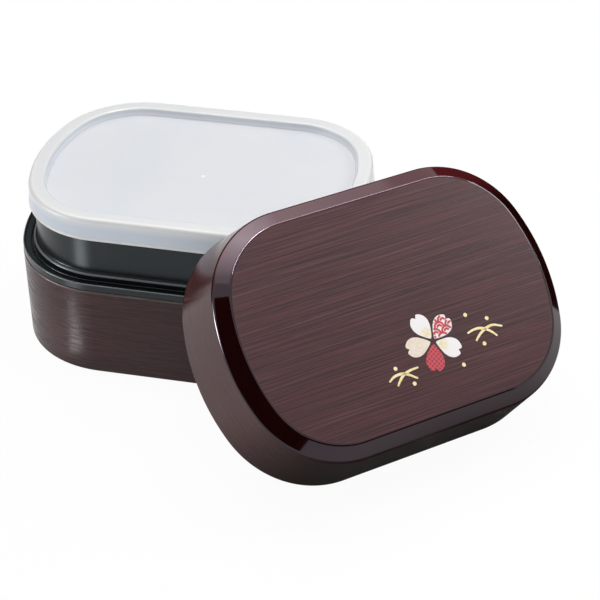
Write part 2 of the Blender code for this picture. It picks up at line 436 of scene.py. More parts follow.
class Finish:
    """A material under construction: its nodes, its shader and the shared effects it uses."""

    def __init__(self, name, roughness, level=0.5, lean=None):
        self.material = bpy.data.materials.new(name)
        self.material.use_nodes = True
        self.nodes = Nodes(self.material.node_tree)
        self.shader = self.material.node_tree.nodes["Principled BSDF"]
        self.shader.inputs["Roughness"].default_value = roughness
        self.shader.inputs["IOR"].default_value = PLASTIC_IOR
        self.shader.inputs["Specular IOR Level"].default_value = level
        self.place = self.nodes.add("ShaderNodeTexCoord").outputs["Object"]
        if lean:
            self.place = self.straightened(lean)

    def straightened(self, lean):
        """The same point in the outer lid's own axes, before the matrix lean moved its mesh."""
        turned = self.nodes.add("ShaderNodeMapping", vector_type="TEXTURE")
        self.nodes.link(self.place, turned.inputs["Vector"])
        turned.inputs["Location"].default_value = lean.translation
        turned.inputs["Rotation"].default_value = lean.to_euler()
        return turned.outputs["Vector"]

    def apart(self):
        """The X, Y and Z of the place."""
        node = self.nodes.add("ShaderNodeSeparateXYZ")
        self.nodes.link(self.place, node.inputs[0])
        return node.outputs

    def effect(self, tree, **values):
        """The outputs of a shared effect at the place."""
        node = self.nodes.add("ShaderNodeGroup", node_tree=tree)
        self.nodes.link(self.place, node.inputs["Vector"])
        for label, value in values.items():
            node.inputs[label].default_value = value
        return node.outputs

    def colour(self, value):
        self.nodes.put(value, self.shader.inputs["Base Color"])

    def roughness(self, mask, low, high):
        """Low where the mask is 0 and high where it is 1."""
        node = self.nodes.add("ShaderNodeMapRange")
        self.nodes.link(mask, node.inputs["Value"])
        node.inputs["To Min"].default_value = low
        node.inputs["To Max"].default_value = high
        self.nodes.link(node.outputs["Result"], self.shader.inputs["Roughness"])

    def relief(self, height, depth, strength):
        """Small unevenness of the surface, depth at most."""
        bump = self.nodes.add("ShaderNodeBump")
        bump.inputs["Strength"].default_value = strength
        bump.inputs["Distance"].default_value = depth
        self.nodes.link(height, bump.inputs["Height"])
        self.nodes.link(bump.outputs["Normal"], self.shader.inputs["Normal"])


def rgb(red, green, blue):
    return (red, green, blue, 1.0)


PLASTIC_IOR = 1.5
DUST_COLOUR = rgb(0.45, 0.40, 0.38)

# Brown lacquer: pairs of tones, scratches, and how close the streaks lie along a piece's x, y and z
BROWN = (rgb(0.037, 0.0145, 0.0155), rgb(0.058, 0.024, 0.026))
# Painted highlight: a lighter brown for the rounded top edge of the brown wall, a line of light along
# it
BROWN_EDGE_HIGHLIGHT = (rgb(0.105, 0.072, 0.072), rgb(0.180, 0.130, 0.130))
WORN_BROWN = rgb(0.16, 0.11, 0.11)
WEAR_REACH = (0.8 * MM, 0.1 * MM)
LID_BROWN = (rgb(0.025, 0.0035, 0.0055), rgb(0.082, 0.0165, 0.0215))
SKIRT_BROWN = (rgb(0.050, 0.008, 0.008), rgb(0.076, 0.013, 0.013))
# Painted shade: a dark neutral that the lid's skirt turns to along its low front edge, near the floor
# as the lid leans
SKIRT_PAINTED_SHADE = rgb(0.027, 0.021, 0.019)
SKIRT_PAINTED_SHADE_REACH = (-58 * MM, -16 * MM)
GRAIN_DARK = rgb(0.022, 0.006, 0.008)
GRAIN_PALE = rgb(0.170, 0.085, 0.095)
WALL_STREAKS = (34.0, 34.0, 900.0)
TOP_STREAKS = (13.0, 1300.0, 1300.0)
SKIRT_STREAKS = (20.0, 20.0, 900.0)

# Glossy bevel of the outer lid: its deep red, and the lighter red of painted light towards its back
# edge
DEEP_RED = rgb(0.012, 0.0015, 0.0015)
BEVEL_PAINTED_LIGHT = rgb(0.080, 0.010, 0.012)
BEVEL_PAINTED_LIGHT_REACH = (28 * MM, 50 * MM)
GLOSS_TINT = rgb(0.96, 0.87, 1.0)

# Black plastic
BLACK = (rgb(0.0065, 0.0085, 0.0095), rgb(0.010, 0.013, 0.014))
# Painted highlight: a lighter grey-black for the rounded top edges of the band and the ridge, lines of
# light along them
BLACK_EDGE_HIGHLIGHT = (rgb(0.130, 0.141, 0.146), rgb(0.190, 0.204, 0.210))
BLACK_TINT = rgb(0.84, 0.95, 1.0)

# Milky plastic: the pair of tones of each part, set lighter or darker part by part as painted light and
# shade on one plastic, and what some of them fade to lower down, as painted shade low on the skirt and
# high on the wall and a painted highlight on the shoulder; the shoulder's fade starts at a share of the
# rim's radius
MILKY_RIM = (rgb(0.72, 0.725, 0.73), rgb(0.70, 0.71, 0.72))
# Painted shade: the recess wall's darker, bluer tone at its top, fading to the lighter low tone near
# the panel
MILKY_WALL_TOP_SHADE = (rgb(0.66, 0.71, 0.78), rgb(0.64, 0.69, 0.76))
MILKY_WALL_LOW = rgb(0.80, 0.83, 0.88)
MILKY_PANEL = (rgb(0.655, 0.665, 0.695), rgb(0.615, 0.64, 0.68))
MILKY_UNDERSIDE = (rgb(0.70, 0.73, 0.76), rgb(0.66, 0.69, 0.73))
# Painted highlight: the lighter tone of the skirt's low edge and lip, a bright line along it
MILKY_EDGE_HIGHLIGHT = (rgb(0.94, 0.94, 0.93), rgb(0.90, 0.90, 0.90))
# Painted shade: the skirt fades to a darker, bluer tone lower down
MILKY_SKIRT = (rgb(0.86, 0.895, 0.94), rgb(0.84, 0.875, 0.92))
MILKY_SKIRT_SHADE = rgb(0.72, 0.785, 0.88)
# Painted highlight: the rim's rounded shoulder turns much lighter lower down
MILKY_SHOULDER = (rgb(0.74, 0.74, 0.74), rgb(0.73, 0.73, 0.73))
MILKY_SHOULDER_HIGHLIGHT = rgb(0.92, 0.955, 0.99)
MILKY_SHOULDER_FADE = 0.25
MILKY_GATE = (rgb(0.92, 0.92, 0.92), rgb(0.88, 0.88, 0.89))

# Printing inks
INK_ROUGHNESS = 0.45
WHITE_INK = rgb(0.95, 0.92, 0.93)
IVORY_INK = rgb(0.86, 0.80, 0.74)
BLUSH_INK = rgb(0.90, 0.76, 0.42)
CREAM_INK = rgb(0.90, 0.80, 0.72)
SAND_INK = rgb(0.86, 0.70, 0.48)
RED_INK = rgb(0.62, 0.055, 0.085)
DOT_RED_INK = rgb(0.28, 0.02, 0.03)
WAVE_RED_INK = rgb(0.50, 0.04, 0.06)
GOLD_INK = rgb(0.84, 0.68, 0.32)
PALE_GOLD_INK = rgb(0.93, 0.82, 0.52)
DAPPLE_PITCH = 2.1 * MM
BLUSH_PLACE = (4.6 * MM, 0, 0)
BLUSH_REACH = (3.6 * MM, 0.8 * MM)


def brushed_brown(name, lines, roughness, level, tones=BROWN, dark=0.3, pale=0.08, depth=0.08,
                  spread=0.06, wear_height=None, lean=None, front=None):
    """Satin brown lacquer with streaks; lines sets how close they lie along x, y and z.

    Dark and pale say how strong its scratches are, and depth how deep its streaks are in mm. Front is
    a dark tone that it turns to towards the piece's own front, painted shade along the leaning lid's
    low edge.
    """
    finish = Finish(name, roughness, level, lean)
    nodes = finish.nodes
    grain = finish.effect(GRAIN, Lines=lines)
    dust = finish.effect(DUST)
    mixed = nodes.math("ADD", nodes.math("MULTIPLY", grain["Bands"], 0.2), grain["Hairs"])
    base = nodes.blend(nodes.window(mixed, 0.48, 0.72, smooth=False), *tones)
    # painted shade: the tone turns darker towards the piece's front
    if front:
        base = nodes.blend(nodes.window(finish.apart()["Y"], *SKIRT_PAINTED_SHADE_REACH), front, base)
    base = nodes.blend(nodes.math("MULTIPLY", grain["Dark"], dark), base, GRAIN_DARK)
    base = nodes.blend(nodes.math("MULTIPLY", grain["Pale"], pale), base, GRAIN_PALE)
    if wear_height:
        base = nodes.blend(wear_band(finish, wear_height), base, WORN_BROWN)
    base = nodes.blend(nodes.math("MULTIPLY", dust["Specks"], 0.5), base, DUST_COLOUR)
    finish.colour(base)
    streaks = nodes.window(grain["Hairs"], 0.40, 0.62)
    finish.roughness(streaks, roughness - spread, roughness + spread)
    finish.relief(grain["Hairs"], depth * MM, 0.5)
    return finish.material


def wear_band(finish, height):
    """Small worn nicks along an edge at the given height."""
    nodes = finish.nodes
    near = nodes.window(finish.apart()["Z"], *[height - below for below in WEAR_REACH])
    broken = nodes.window(nodes.noise(finish.place, 260.0, detail=3.0), 0.55, 0.72)
    return nodes.math("MULTIPLY", near, broken)


def gloss_brown(name, lean):
    """Clear gloss over a deep red, lighter red towards the lid's back edge, its top as it leans, as
    painted light.
    """
    finish = Finish(name, roughness=0.05, lean=lean)
    nodes = finish.nodes
    skin = finish.effect(SKIN)
    # painted light: a lighter red towards the lid's back edge, deep red towards its front
    red = nodes.blend(nodes.window(finish.apart()["Y"], *BEVEL_PAINTED_LIGHT_REACH), DEEP_RED, BEVEL_PAINTED_LIGHT)
    finish.colour(nodes.blend(nodes.math("MULTIPLY", skin["Drift"], 0.3), red, DEEP_RED))
    finish.shader.inputs["Specular Tint"].default_value = GLOSS_TINT
    finish.roughness(skin["Drift"], 0.03, 0.08)
    finish.relief(skin["Drift"], 0.05 * MM, 0.2)
    return finish.material


def black_plastic(name, tones=BLACK, level=0.36):
    """Satin black with a faint green-grey cast."""
    finish = Finish(name, roughness=0.27, level=level)
    finish.shader.inputs["Specular Tint"].default_value = BLACK_TINT
    skin = finish.effect(SKIN)
    dust = finish.effect(DUST)
    base = finish.nodes.blend(skin["Drift"], *tones)
    base = finish.nodes.blend(finish.nodes.math("MULTIPLY", dust["Specks"], 0.25), base, DUST_COLOUR)
    finish.colour(base)
    finish.roughness(skin["Drift"], 0.23, 0.31)
    finish.relief(skin["Pebble"], 0.01 * MM, 0.3)
    return finish.material


def milky_plastic(name, tones, roughness, below=None, heights=(0, 0)):
    """Milky flexible plastic, whose tone drifts a little with its thickness.

    Where it has a colour for below, it fades to it from the second of the heights down to the first;
    the fade paints shade on the skirt and the wall and a highlight on the shoulder.
    """
    finish = Finish(name, roughness)
    nodes = finish.nodes
    skin = finish.effect(SKIN)
    base = nodes.blend(nodes.window(skin["Drift"], 0.35, 0.65), *tones)
    if below:
        base = nodes.blend(nodes.window(finish.apart()["Z"], *heights), below, base)
    finish.colour(base)
    finish.roughness(skin["Drift"], roughness - 0.04, roughness + 0.05)
    finish.relief(skin["Pebble"], 0.008 * MM, 0.25)
    return finish.material


def print_ink(name, colour, other, pattern, metallic=0.0):
    """Opaque ink in two tones; pattern takes the finish and gives the mask between them."""
    finish = Finish(name, INK_ROUGHNESS)
    finish.shader.inputs["Metallic"].default_value = metallic
    finish.colour(finish.nodes.blend(pattern(finish), colour, other))
    skin = finish.effect(SKIN)
    finish.relief(skin["Pebble"], 0.01 * MM, 0.3)
    return finish.material


def clouded(finish):
    """The cloudy tone that several inks share."""
    return finish.effect(CLOUDS)["Clouds"]


def speckled(finish):
    """Close fine speckle."""
    return finish.nodes.window(finish.nodes.noise(finish.place, 1500.0, detail=1.0), 0.48, 0.60)


def dappled(finish):
    """Rows of small dots set on the diagonal."""
    nodes, place = finish.nodes, finish.apart()
    waves = []
    for axis in ("X", "Y"):
        waves.append(nodes.math("SINE", nodes.math("MULTIPLY", place[axis], math.tau / DAPPLE_PITCH)))
    return nodes.window(nodes.math("MULTIPLY", *waves), 0.05, 0.35)


def blushed(finish):
    """A cloud of gold flecks near the petal's base."""
    nodes = finish.nodes
    near = nodes.window(distance(nodes, finish.place, BLUSH_PLACE), *BLUSH_REACH)
    flecks = nodes.window(nodes.noise(finish.place, 900.0), 0.30, 0.55)
    return nodes.math("MULTIPLY", near, flecks)


def lower_tier():
    """Brown outside and over the shoulder, black inside."""
    rim_outer = BAND_INSET + BAND_WALL + FIT_GAP
    rim_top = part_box("lower_tier")[1].z
    foot = LOWER_WALL + LOWER_DRAFT
    brown, black, edge_highlight = 0, 1, 2
    return shell("lower_tub", [
        (BASE_EDGE * FLAT_START, 0, 0, brown),
        (0, 0, BASE_EDGE, brown),
        # the shoulder's rounded edge takes the lighter brown as a painted highlight line
        (0, SHOULDER, SHOULDER_EDGE, brown, edge_highlight),
        (rim_outer, SHOULDER, 0, black),
        (rim_outer, rim_top, SMALL_EDGE, black),
        (LOWER_WALL, rim_top, SMALL_EDGE, black),
        (foot, LOWER_FLOOR, LOWER_FLOOR_EDGE, black),
        (foot + LOWER_FLOOR_EDGE * FLAT_START, LOWER_FLOOR, 0, black),
    ], [
        brushed_brown("brown wall", WALL_STREAKS, 0.34, 0.23, depth=0.14, spread=0.12,
                      wear_height=SHOULDER),
        black_plastic("black inside"),
        # painted highlight for the shoulder's rounded edge
        brushed_brown("brown edge highlight", WALL_STREAKS, 0.30, 0.4, BROWN_EDGE_HIGHLIGHT),
    ])


def upper_tier():
    """Outer band, groove, rib, gutter and ridge, then the tall wall; all black."""
    low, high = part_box("upper_tier")
    band_low = SHOULDER + FIT_GAP
    band_inner = BAND_INSET + BAND_WALL
    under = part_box("lower_tier")[1].z + FIT_GAP
    groove = under + FLANGE_WALL
    band_top = groove + GROOVE_DEPTH
    rib_outer = band_inner + FIT_GAP + LID_WALL + FIT_GAP
    rib_inner = rib_outer + GROOVE_RIB_WALL
    rib_top = band_top + GROOVE_RIB_RISE
    gutter = band_top - GUTTER_DEPTH
    ridge = band_top + RIDGE_RISE
    top_outer = WALL_FOOT_INSET + UPPER_WALL_DRAFT
    top_inner = top_outer + UPPER_WALL
    nest_foot = top_outer + NEST_DRAFT
    core_foot = top_inner + UPPER_CORE_DRAFT
    black, edge_highlight = 0, 1
    return shell("upper_tub", [
        (nest_foot + NEST_EDGE * FLAT_START, low.z, 0, black),
        (nest_foot, low.z, NEST_EDGE, black),
        (top_outer, ridge - RIDGE_WALL, 0, black),
        (RIDGE_INSET + RIDGE_WALL, ridge - RIDGE_WALL, 0, black),
        (RIDGE_INSET + RIDGE_WALL, under, 0, black),
        (band_inner, under, 0, black),
        (band_inner, band_low, 0, black),
        (BAND_INSET, band_low, SMALL_EDGE, black),
        # the band's and the ridge's rounded top edges take the lighter tone as painted highlight lines
        (BAND_INSET, band_top, BAND_EDGE, black, edge_highlight),
        (band_inner, band_top, SMALL_EDGE, black),
        (band_inner, groove, 0, black),
        (rib_outer, groove, 0, black),
        (rib_outer, rib_top, SMALL_EDGE, black),
        (rib_inner, rib_top, SMALL_EDGE, black),
        (rib_inner, gutter, 0, black),
        (RIDGE_INSET, gutter, 0, black),
        (RIDGE_INSET, ridge, RIDGE_EDGE, black, edge_highlight),
        (WALL_FOOT_INSET, ridge, WALL_FOOT_EDGE, black),
        (top_outer, high.z, UPPER_WALL / 2, black),
        (top_inner, high.z, UPPER_WALL / 2, black),
        (core_foot, low.z + UPPER_FLOOR, NEST_EDGE, black),
        (core_foot + NEST_EDGE * FLAT_START, low.z + UPPER_FLOOR, 0, black),
    ], [
        black_plastic("black tier"),
        # painted highlight for the band's and the ridge's rounded edges
        black_plastic("black edge highlight", BLACK_EDGE_HIGHLIGHT, 0.5),
    ])


def inner_lid():
    """Milky cap: flared skirt, rounded rim, sunken panel and a sealing rib underneath."""
    low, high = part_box("inner_lid")
    ceiling = high.z - CAP_CEILING
    channel_outer = WALL_FOOT_INSET + UPPER_WALL_DRAFT - FIT_GAP
    rim_outer = channel_outer - CAP_SKIRT_WALL
    rib_outer = WALL_FOOT_INSET + UPPER_WALL_DRAFT + UPPER_WALL + FIT_GAP
    rib_inner = rib_outer + CAP_RIB_WALL
    rim_inner = rim_outer + CAP_RIM_WIDTH
    panel = high.z - CAP_RECESS_DEPTH
    panel_under = panel - CAP_WALL
    foot = rim_inner + CAP_RECESS_DRAFT
    rim, wall, sunk, hidden, edge, skirt, shoulder = range(7)
    lip = low.z + CAP_LIP
    lip_inset = rim_outer - CAP_FLARE * (1 - CAP_LIP / (high.z - low.z))
    return shell("inner_cap", [
        (foot + CAP_PANEL_EDGE * FLAT_START, panel_under, 0, hidden),
        (foot - CAP_WALL, panel_under, CAP_PANEL_EDGE, hidden),
        (rim_inner - CAP_WALL, ceiling, 0, hidden),
        (rib_inner, ceiling, 0, hidden),
        (rib_inner, ceiling - CAP_RIB_DEPTH, 0, hidden),
        (rib_outer, ceiling - CAP_RIB_DEPTH, 0, hidden),
        (rib_outer, ceiling, 0, hidden),
        (channel_outer, ceiling, UPPER_WALL / 2 + FIT_GAP, hidden),
        # the skirt's low edge and lip take the lighter edge tone as a painted highlight line
        (channel_outer - CAP_FLARE, low.z, 0, edge),
        (rim_outer - CAP_FLARE, low.z, SMALL_EDGE, edge),
        (lip_inset, (low.z + lip) / 2, SMALL_EDGE, edge),
        (lip_inset + CAP_BEAD, lip, 0, skirt),
        (rim_outer, high.z, CAP_EDGE, rim, shoulder),
        (rim_inner, high.z, CAP_RIM_INNER_EDGE, wall, rim),
        (foot, panel, CAP_PANEL_EDGE, sunk),
        (foot + CAP_PANEL_EDGE * FLAT_START, panel, 0, sunk),
    ], [
        milky_plastic("milky rim", MILKY_RIM, 0.30),
        # painted shade: the recess wall is darker and bluer at its top
        milky_plastic("milky wall", MILKY_WALL_TOP_SHADE, 0.35, MILKY_WALL_LOW,
                      (panel + CAP_PANEL_EDGE, high.z - CAP_RIM_INNER_EDGE)),
        milky_plastic("milky panel", MILKY_PANEL, 0.42),
        milky_plastic("milky underside", MILKY_UNDERSIDE, 0.42),
        # painted highlight along the skirt's low edge
        milky_plastic("milky edge highlight", MILKY_EDGE_HIGHLIGHT, 0.30),
        # painted shade: the skirt turns darker and bluer lower down
        milky_plastic("milky skirt", MILKY_SKIRT, 0.30, MILKY_SKIRT_SHADE,
                      (high.z - CAP_FADE, high.z - CAP_EDGE)),
        # painted highlight: the rim's rounded shoulder turns much lighter lower down
        milky_plastic("milky shoulder", MILKY_SHOULDER, 0.42, MILKY_SHOULDER_HIGHLIGHT,
                      (high.z - CAP_EDGE, high.z - CAP_EDGE * MILKY_SHOULDER_FADE)),
    ])


def gate_mark():
    """The moulding gate's scar in the middle of the panel: a low dimpled button."""
    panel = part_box("inner_lid")[1].z - CAP_RECESS_DEPTH
    bm = bmesh.new()
    rings = []
    for share, rise in GATE_PROFILE:
        ring = []
        for i in range(GATE_STEPS):
            t = math.tau * i / GATE_STEPS
            p = GATE_PLACE + GATE_RADIUS * share * Vector((math.cos(t), math.sin(t)))
            ring.append(bm.verts.new((p.x, p.y, panel + GATE_RISE * rise)))
        rings.append(ring)
    for low, high in zip(rings, rings[1:]):
        for i in range(GATE_STEPS):
            j = (i + 1) % GATE_STEPS
            bm.faces.new((low[i], low[j], high[j], high[i]))
    bm.faces.new(rings[-1])
    bm.faces.new(list(reversed(rings[0])))
    return as_object("gate_mark", bm, [milky_plastic("milky gate", MILKY_GATE, 0.2)])


def outer_lid():
    """Satin skirt, glossy bevel, brushed top, and black inside."""
    skirt = BAND_INSET + BAND_WALL + FIT_GAP
    shoulder = skirt + LID_SKIRT_DRAFT
    face = shoulder + LID_BEVEL_WIDTH
    slope = math.atan2(LID_HEIGHT - LID_SKIRT_HEIGHT, LID_BEVEL_WIDTH)
    ceiling = LID_HEIGHT - LID_TOP_WALL
    inner_face = face + LID_BEVEL_WALL / math.sin(slope) - LID_TOP_WALL / math.tan(slope)
    inner_shoulder = shoulder + LID_WALL
    inner_height = ceiling - (inner_face - inner_shoulder) * math.tan(slope)
    top, bevel, side, inside = 0, 1, 2, 3
    cover = shell("outer_cover", [
        (face + LID_BEVEL_WIDTH, LID_HEIGHT, 0, top),
        (face, LID_HEIGHT, LID_TOP_EDGE, bevel, bevel),
        (shoulder, LID_SKIRT_HEIGHT, LID_SHOULDER_EDGE, side, bevel),
        (skirt, 0, SMALL_EDGE, side),
        (skirt + LID_WALL, 0, SMALL_EDGE, inside),
        (inner_shoulder, inner_height, LID_WALL, inside),
        (inner_face, ceiling, LID_WALL, inside),
        (face + LID_BEVEL_WIDTH, ceiling, 0, inside),
    ], [])
    place = lid_place(cover)
    cover.data.transform(place)
    for material in (
            brushed_brown("brushed top", TOP_STREAKS, 0.42, 0.34, LID_BROWN, dark=0.5, pale=0.25,
                          depth=0.1, lean=place),
            gloss_brown("gloss bevel", place),
            # the skirt's front tone is painted shade along its low edge
            brushed_brown("satin skirt", SKIRT_STREAKS, 0.14, 0.26, SKIRT_BROWN, lean=place,
                          front=SKIRT_PAINTED_SHADE),
            black_plastic("black lid inside")):
        cover.data.materials.append(material)
    return cover, place


def lid_place(lid):
    """The leaning lid's place: its axis comes from its joint, the rest from its box."""
    joint = next(j for j in frame["joints"] if j["child"] == "outer_lid")
    tilt = math.acos(Vector(joint["axis"]).normalized().z)
    turn = (Matrix.Rotation(LID_FACING, 4, "Z") @ Matrix.Rotation(tilt, 4, "Y")
            @ Matrix.Rotation(LID_TURN, 4, "Z"))
    turned = [turn @ v.co for v in lid.data.vertices]
    low = Vector([min(p[k] for p in turned) for k in range(3)])
    high = Vector([max(p[k] for p in turned) for k in range(3)])
    box_low, box_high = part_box("outer_lid")
    return Matrix.Translation((box_low + box_high - low - high) / 2) @ turn


def smooth_line(points, steps=6):
    """A smooth curve through 2-D points, with so many steps from each to the next."""
    ends = [2 * points[0] - points[1]] + list(points) + [2 * points[-1] - points[-2]]
    line = []
    for before, start, stop, after in zip(ends, ends[1:], ends[2:], ends[3:]):
        for i in range(steps):
            t = i / steps
            line.append(0.5 * (2 * start + (stop - before) * t
                               + (2 * before - 5 * start + 4 * stop - after) * t ** 2
                               + (3 * start - before - 3 * stop + after) * t ** 3))
    return line + [points[-1]]


def raised_print(name, outlines, material, place, rise=PRINT_RISE, base=-PRINT_SINK, bevel=PRINT_BEVEL):
    """Flat closed outlines as ink that stands a hair proud of the lid's top, with a bevelled edge."""
    bm = bmesh.new()
    for outline in outlines:
        low = [bm.verts.new((p.x, p.y, base)) for p in outline]
        high = []
        for i, p in enumerate(outline):
            along = outline[(i + 1) % len(outline)] - outline[i - 1]
            inwards = Vector((-along.y, along.x)).normalized()
            q = p + inwards * bevel
            high.append(bm.verts.new((q.x, q.y, base + rise)))
        for i in range(len(low)):
            j = (i + 1) % len(low)
            bm.faces.new((low[i], low[j], high[j], high[i]))
        bm.faces.new(high)
        bm.faces.new(list(reversed(low)))
    piece = as_object(name, bm, [material])
    piece.matrix_world = place
    return piece


def petal_outline():
    """One petal pointing along +x, with a notched tip, anticlockwise."""
    half = smooth_line([Vector(p) * MM for p in PETAL_HALF])
    upper = [Vector((p.x, p.y)) for p in reversed(half)]
    lower = [Vector((p.x, -p.y)) for p in half[1:]]
    return [Vector((PETAL_NOTCH * MM, 0))] + upper + lower


def stroke_outline(points, width):
    """A brush stroke along points: full in the middle, a little thinner at its round ends."""
    line = smooth_line([Vector(p) * MM for p in points], steps=8)
    left, right = [], []
    for i, p in enumerate(line):
        along = (line[min(i + 1, len(line) - 1)] - line[max(i - 1, 0)]).normalized()
        across = Vector((-along.y, along.x))
        share = i / (len(line) - 1)
        swell = SPRIG_TIP_SHARE + (1 - SPRIG_TIP_SHARE) * math.sin(math.pi * share)
        left.append(p + across * width / 2 * swell)
        right.append(p - across * width / 2 * swell)
    return right + round_end(line[-1], right[-1]) + left[::-1] + round_end(line[0], left[0])


def round_end(centre, start, steps=6):
    """Points of a half circle from start round the end of a stroke, anticlockwise."""
    first = start - centre
    return [centre + Matrix.Rotation(math.pi * i / steps, 2) @ first for i in range(1, steps)]


def dot_outline(centre, radius, steps=20):
    """Points of a circle, anticlockwise."""
    first = Vector((radius, 0))
    return [centre + Matrix.Rotation(math.tau * i / steps, 2) @ first for i in range(steps)]


def inside(point, outline):
    """Whether a 2-D point lies in a closed outline."""
    within = False
    for a, b in zip(outline, outline[1:] + outline[:1]):
        if (a.y > point.y) != (b.y > point.y):
            if point.x < a.x + (point.y - a.y) / (b.y - a.y) * (b.x - a.x):
                within = not within
    return within


def wave_scales(turn):
    """Arc strips of overlapping fans that fill a petal turned by the given angle."""
    petal = petal_outline()
    to_petal = Matrix.Rotation(-turn, 2)
    strips = []
    for row in WAVE_ROWS:
        for column in WAVE_COLUMNS:
            centre = Vector(((column + 0.5 * (row % 2)) * WAVE_PITCH, row * WAVE_ROW))
            for radius in WAVE_ARCS:
                strips += fan_arc(centre, radius * MM, petal, to_petal)
    return strips


def fan_arc(centre, radius, petal, to_petal):
    """The parts of one arc that lie in the petal and that no nearer fan covers."""
    strips = []
    inner, outer = radius - WAVE_LINE / 2, radius + WAVE_LINE / 2
    reach = WAVE_ARCS[0] * MM + WAVE_LINE / 2
    nearer = [centre + Vector((side * WAVE_PITCH / 2, -WAVE_ROW)) for side in (-1, 1)]
    nearer.append(centre + Vector((0, -2 * WAVE_ROW)))
    for i in range(WAVE_STEPS):
        first, last = math.pi * i / WAVE_STEPS, math.pi * (i + 1) / WAVE_STEPS
        half = (first + last) / 2
        middle = centre + Vector((math.cos(half), math.sin(half))) * radius
        if any((middle - other).length < reach for other in nearer):
            continue
        corners = []
        for t, r in ((first, inner), (first, outer), (last, outer), (last, inner)):
            corners.append(centre + Vector((math.cos(t), math.sin(t))) * r)
        if all(inside(to_petal @ corner, petal) for corner in corners):
            strips.append(corners)
    return strips


def blossom(place):
    """Five petals round a point, each with its own traditional fill."""
    blushed_white = print_ink("blushed white", WHITE_INK, BLUSH_INK, blushed)
    fills = [
        ("petal_waves", "print_white", print_ink("wave ground", WHITE_INK, IVORY_INK, clouded)),
        ("petal_left_white", "print_white", blushed_white),
        ("petal_cream", "print_gold", print_ink("speckled cream", CREAM_INK, SAND_INK, speckled)),
        ("petal_red", "print_red", print_ink("dappled red", RED_INK, DOT_RED_INK, dappled)),
        ("petal_right_white", "print_white", blushed_white),
    ]
    centre = place @ Matrix.Translation((*FLOWER, 0))
    for k, (name, slot, ink) in enumerate(fills):
        turn = PETAL_FIRST + PETAL_TURN * k
        petal = raised_print(name, [petal_outline()], ink, centre @ Matrix.Rotation(turn, 4, "Z"))
        dress(petal, "outer_lid")
    wave_ink = print_ink("wave red", RED_INK, WAVE_RED_INK, clouded)
    waves = raised_print("petal_wave_lines", wave_scales(PETAL_FIRST), wave_ink, centre,
                         rise=WAVE_RISE, base=PRINT_RISE - PRINT_SINK, bevel=0)
    dress(waves, "outer_lid")


def gold_sprigs(place):
    """Two crossed strokes on each side of the blossom, and scattered dots."""
    ink = print_ink("gold ink", GOLD_INK, PALE_GOLD_INK, clouded, metallic=0.15)
    for name, points in SPRIGS.items():
        sprig = raised_print("sprig_" + name, [stroke_outline(points, SPRIG_WIDTH)], ink, place)
        dress(sprig, "outer_lid")
    for k, centre in enumerate(DOTS):
        dot = raised_print(f"gold_dot_{k}", [dot_outline(Vector(centre) * MM, DOT_RADIUS)], ink, place)
        dress(dot, "outer_lid")


def standing(start, stop, height):
    """Corners of an upright card between two points on the floor."""
    return [(*start, 0), (*stop, 0), (*stop, height), (*start, height)]


def scene_camera():
    """The camera of the photo, turned round its own line of sight by its roll."""
    azimuth, elevation = CAMERA_AZIMUTH, CAMERA_ELEVATION
    forward = Vector((-math.sin(azimuth) * math.cos(elevation),
                      math.cos(azimuth) * math.cos(elevation), -math.sin(elevation)))
    right = Vector((math.cos(azimuth), math.sin(azimuth), 0))
    up = right.cross(forward)
    rolled_right = math.cos(CAMERA_ROLL) * right + math.sin(CAMERA_ROLL) * up
    rolled_up = -math.sin(CAMERA_ROLL) * right + math.cos(CAMERA_ROLL) * up
    camera = bpy.data.objects.new("camera", bpy.data.cameras.new("camera"))
    camera.data.lens = CAMERA_LENS
    camera.data.clip_end = 50
    turn = Matrix((rolled_right, rolled_up, -forward)).transposed().to_4x4()
    camera.matrix_world = Matrix.Translation(CAMERA_TARGET - forward * CAMERA_DISTANCE) @ turn
    bpy.context.scene.collection.objects.link(camera)
    bpy.context.scene.camera = camera


def seen_directly(nodes):
    """1 for rays from the camera, from shiny surfaces and through clear ones, else 0."""
    path = nodes.add("ShaderNodeLightPath")
    seen = nodes.math("ADD", path.outputs["Is Camera Ray"], path.outputs["Is Glossy Ray"])
    return nodes.math("ADD", seen, path.outputs["Is Transmission Ray"], clamp=True)


def world():
    """White where it is seen, a soft fill elsewhere."""
    made = bpy.data.worlds.new("studio")
    made.use_nodes = True
    bpy.context.scene.world = made
    nodes = Nodes(made.node_tree)
    background = made.node_tree.nodes["Background"]
    strength = nodes.add("ShaderNodeMapRange")
    nodes.link(seen_directly(nodes), strength.inputs["Value"])
    strength.inputs["To Min"].default_value = STUDIO_FILL
    strength.inputs["To Max"].default_value = 1.0
    background.inputs["Color"].default_value = rgb(1, 1, 1)
    nodes.link(strength.outputs["Result"], background.inputs["Strength"])


def distance(nodes, place, point):
    """How far a place is from a fixed point."""
    node = nodes.add("ShaderNodeVectorMath", operation="DISTANCE")
    nodes.link(place, node.inputs[0])
    node.inputs[1].default_value = point
    return node.outputs["Value"]


